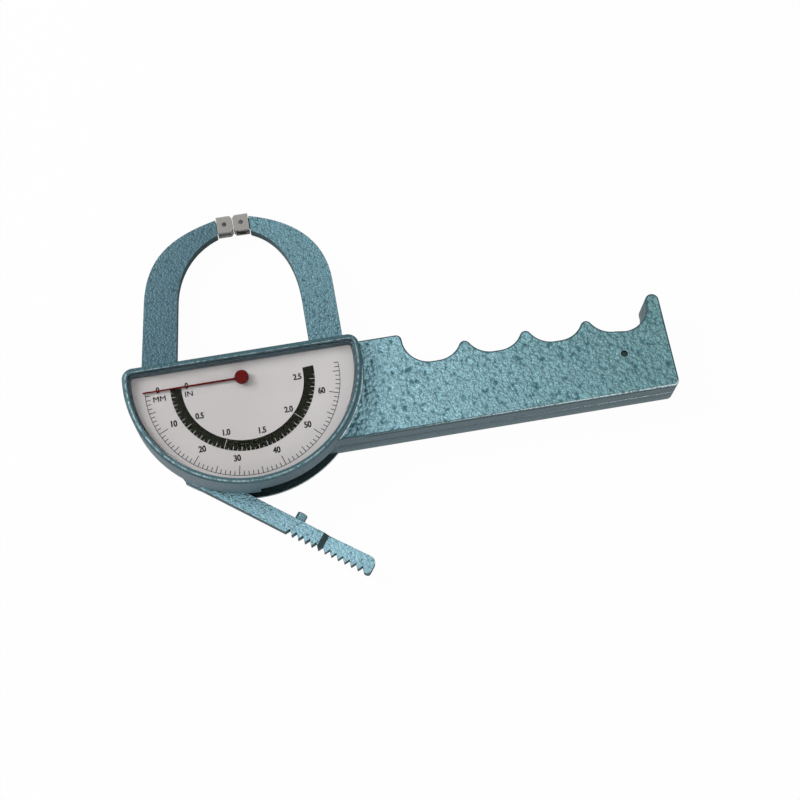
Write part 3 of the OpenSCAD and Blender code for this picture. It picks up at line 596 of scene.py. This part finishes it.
# The numbers stand a little to one side of their ticks.
millimetre_at = (9.7, 19.9, 29.3, 39.6, 50.1, 60.1)
inch_at = (12.3, 24.6, 38.2, 51, 64.5)
figures("millimetre_numbers", [(f"{10 * (i + 1)}", on_arc(at, 34))
                               for i, at in enumerate(millimetre_at)], 2.9, dark_ink)
figures("inch_numbers", [(f"{(i + 1) / 2}", on_arc(at, 23.4))
                         for i, at in enumerate(inch_at)], 2.8, dark_ink)
figures("zeros", [("0", (-36.1, 0.7)), ("0", (-23.8, 0.7))], 2.8, dark_ink)
figures("units", [("MM", (-35.8, -3.3)), ("IN", (-23.2, -3.1))], 2.4, dark_ink, 0, 1.05)

# ---------- Pointer ----------
# The needle is stamped sheet metal and the cap that holds it is moulded. Both are dipped
# in glossy dark red lacquer.

red = Paint("pointer_red")
pool = red.noise(0.002, 1)
red.shade(Base_Color=red.blend(pool, (0.045, 0.001, 0.001), (0.07, 0.002, 0.001)),
          Roughness=pool * 0.08 + 0.2, Specular_IOR_Level=0.04)
red.bump(pool, 0.02 * MM)
dressed("pointer_needle", "pointer", [red.material], 0.12)
dressed("pointer_cap", "pointer", [red.material], 0.55, steps=5)

# ---------- Lens ----------
# A flat window of clear acrylic, cut to the case's outline and pressed under the rim.

clear = Paint("clear_acrylic")
smear = clear.noise(0.02, 2)
clear.shade(Base_Color=(1.0, 1.0, 1.0), Roughness=smear * 0.02 + 0.01, IOR=1.12,
            Transmission_Weight=1.0)
ray = clear.node("ShaderNodeLightPath")
passing = clear.node("ShaderNodeBsdfTransparent", {}, (0.96, 0.96, 0.96, 1))
gathered = clear.node("ShaderNodeMixShader", {}, ray.outputs["Is Shadow Ray"],
                      clear.shader.outputs[0], passing.outputs[0])
clear.put(clear.tree.nodes["Material Output"], "Surface", gathered.outputs[0])
dressed("dial_lens", "frame", [clear.material], 0.15)

# ---------- Jaw tips ----------
# Two moulded pads of milky plastic, each turning on a steel pin through its arm's end.

milky = Paint("milky_plastic")
cloud = milky.noise(0.003, 2)
milky.shade(Base_Color=milky.blend(cloud, (0.33, 0.325, 0.31), (0.40, 0.395, 0.375)),
            Roughness=cloud * 0.1 + 0.38, Subsurface_Weight=0.4,
            Subsurface_Scale=0.002, Subsurface_Radius=(1, 1, 1))
milky.bump(milky.noise(0.0006, 2), 0.01 * MM)
dressed("fixed_jaw_tip", "fixed_tip", [milky.material], 0.45)
dressed("moving_jaw_tip", "moving_tip", [milky.material], 0.45)

# ---------- Screws, pins and studs ----------
# Slotted screws hold the castings together from the back. They and the posts are turned
# from steel and plated; the tip pins and the clip are blackened.


def turned_metal(name, low, high, roughness, metallic=1.0):
    """Metal with fine turning marks, stains, and a grain of small pits."""
    paint = Paint(name)
    stain = paint.noise(0.004, 3).step(0.25, 0.75)
    grain = paint.noise(0.0003, 2)
    paint.shade(Base_Color=paint.blend(stain, low, high), Metallic=metallic,
                Roughness=stain * 0.12 + roughness)
    paint.bump(grain, 0.006 * MM)
    return paint.material


plated = turned_metal("plated_steel", (0.50, 0.50, 0.48), (0.62, 0.61, 0.58), 0.24)
blackened = turned_metal("blackened_steel", (0.06, 0.06, 0.065), (0.11, 0.11, 0.12), 0.34, 0.8)
brass = turned_metal("brass", (0.56, 0.38, 0.13), (0.68, 0.48, 0.20), 0.26)

for node in ("handle_screws", "case_screw", "fixed_arm_screws", "movement_screws",
             "arm_pivot_pin", "idler_stud", "spring_anchor"):
    dressed(node, "frame", [plated], 0.15)
dressed("spring_stud", "arm", [plated], 0.15)
dressed("fixed_tip_pin", "frame", [blackened], 0.12)
dressed("moving_tip_pin", "arm", [blackened], 0.12)
dressed("pivot_clip", "frame", [blackened], 0.08)
# Painted shade: the rivet's end is a dark pit.
dressed("handle_rivet", "frame", [painted_shade_enamel], 0.15)

# ---------- Gear train ----------
# Brass gears, washers and bushes turn on steel studs between the arm and a plate of
# stamped brass that stands on three posts of the case.

for node in ("thrust_washer", "pivot_spacer", "arbor_bush", "movement_plate"):
    dressed(node, "frame", [brass], 0.12)
for node in ("pivot_bush", "sector_gear", "sector_rivets"):
    dressed(node, "arm", [brass], 0.06)
dressed("idler_gear", "idler", [brass], 0.04, steps=1)
dressed("arbor_pinion", "pointer", [brass], 0.04, steps=1)
for node in ("pointer_arbor", "arbor_collar"):
    dressed(node, "pointer", [plated], 0.08)

# ---------- Closing spring ----------
# A close-wound steel spring with a loop at each end. One loop hangs on a stud in the
# moving arm's lug and the other on an anchor in the case.


def tube(path, radius, sides=10):
    """A wire: a circle carried along a path, square to it, and closed at both ends."""
    path = np.asarray(path, float)
    along = np.gradient(path, axis=0)
    along /= np.linalg.norm(along, axis=1, keepdims=True)
    up = np.cross(along, [0.31, 0.17, 0.93])
    up /= np.linalg.norm(up, axis=1, keepdims=True)
    side = np.cross(along, up)
    turn = np.linspace(0, 2 * np.pi, sides, endpoint=False)
    ring = (np.cos(turn)[None, :, None] * up[:, None] + np.sin(turn)[None, :, None]
            * side[:, None]) * radius + path[:, None]
    count = len(path)
    low = (np.arange(count - 1)[:, None] * sides + np.arange(sides)).ravel()
    nxt = (np.arange(count - 1)[:, None] * sides + (np.arange(sides) + 1) % sides).ravel()
    walls = np.stack([low, nxt, nxt + sides, low + sides], 1).tolist()
    ends = [list(range(sides))[::-1], list(range((count - 1) * sides, count * sides))]
    return ring.reshape(-1, 3), walls + ends


spring_low, spring_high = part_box("main_spring")
wire = 0.4
stud_r = 1.2
loop_r = stud_r + 0.25 + wire               # with the loop's room on its stud
hook_end = 6.6                              # from a loop's middle to where its wire joins
moving_loop = spring_low.x / MM + loop_r + wire
fixed_loop = spring_high.x / MM - loop_r - wire
middle_y, middle_z = [(spring_low[i] + spring_high[i]) / 2 / MM for i in (1, 2)]
coil_r = (spring_high.z - spring_low.z) / 2 / MM - wire
coil_start, coil_end = moving_loop + 7, fixed_loop - 7


def hook(centre, towards):
    """From inside the loop, once round it and out along the spring's line, to the coil."""
    a = np.linspace(0, 1, 33) * np.radians(330) + np.radians(15)
    loop = np.stack([centre + towards * loop_r * np.cos(a), loop_r * np.sin(a), 0 * a], 1)
    run = np.linspace(0, 1, 12)[1:]
    start = loop[-1]
    goal = np.array([centre + towards * hook_end, 0, coil_r])
    ease = (3 * run ** 2 - 2 * run ** 3)[:, None]
    straight = start + (goal - start) * np.concatenate([run[:, None], ease, ease], 1)
    return np.concatenate([loop, straight])


turns = round((coil_end - coil_start) / (2 * wire * 1.04))
a = np.linspace(0, 2 * np.pi * turns, turns * 18 + 1)
coil = np.stack([np.linspace(coil_start, coil_end, len(a)), coil_r * np.sin(a),
                 coil_r * np.cos(a)], 1)
route = np.concatenate([hook(moving_loop, 1), coil[3:-3], hook(fixed_loop, -1)[::-1]])
corners, faces = tube(route + (0, middle_y, middle_z), wire)
spring_wire = turned_metal("spring_wire", (0.30, 0.31, 0.33), (0.44, 0.45, 0.47), 0.3)
spring = mesh_piece("spring_coil", corners * MM, faces, spring_wire)
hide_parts("main_spring")
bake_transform(spring)
